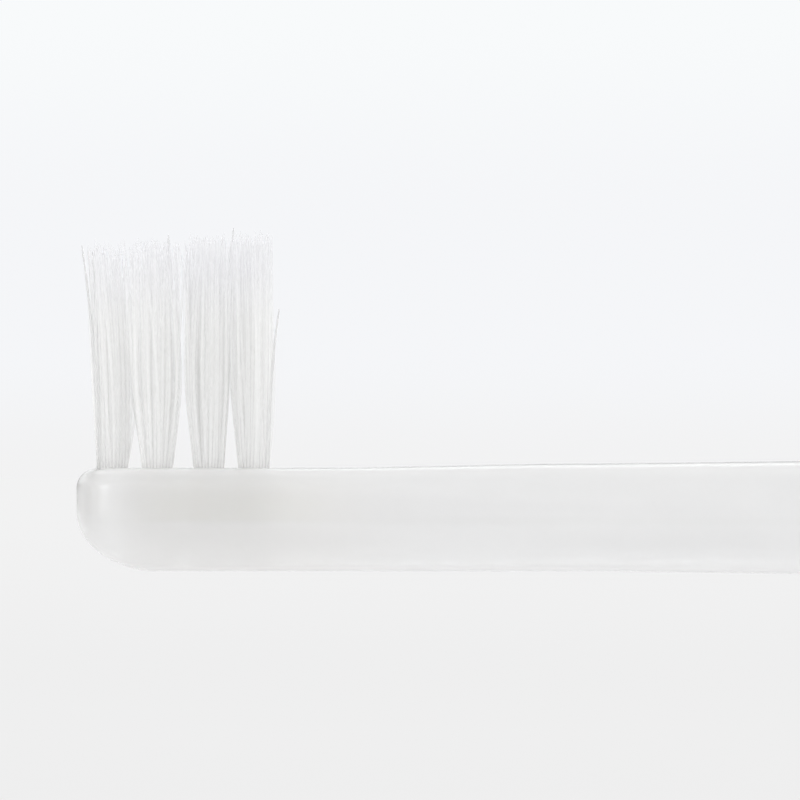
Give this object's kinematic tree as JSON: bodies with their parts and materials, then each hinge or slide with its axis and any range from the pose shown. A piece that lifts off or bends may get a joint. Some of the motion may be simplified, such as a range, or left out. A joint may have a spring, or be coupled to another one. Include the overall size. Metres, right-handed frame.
{
  "type": "toothbrush head",
  "caption": "Replacement toothbrush head: a slim translucent moulding with rows of white tapered bristle tufts held by flat anchors, and a round keyed socket that pushes onto a drive shaft.",
  "frame": {"origin": "centre of the shaft socket's mouth", "axes": "+X out of the socket along the neck, tip at -X; +Z the way the bristles point; XZ is the plane of symmetry"},
  "size_m": [0.064, 0.0074, 0.0163],
  "materials": {
    "clear_body": "translucent natural polypropylene, satin gloss",
    "bristle": "white nylon filament with fine tapered tips",
    "anchor_brass": "plain rolled strip"
  },
  "bodies": {
    "root": {"brush_body": "clear_body", "tuft_anchors": "anchor_brass", "tuft_row1_left": "bristle", "tuft_row1_right": "bristle", "tuft_row2_left": "bristle", "tuft_row2_middle": "bristle", "tuft_row2_right": "bristle", "tuft_row3_left": "bristle", "tuft_row3_middle": "bristle", "tuft_row3_right": "bristle", "tuft_row4_left": "bristle", "tuft_row4_middle": "bristle", "tuft_row4_right": "bristle"}
  },
  "joints": []
}
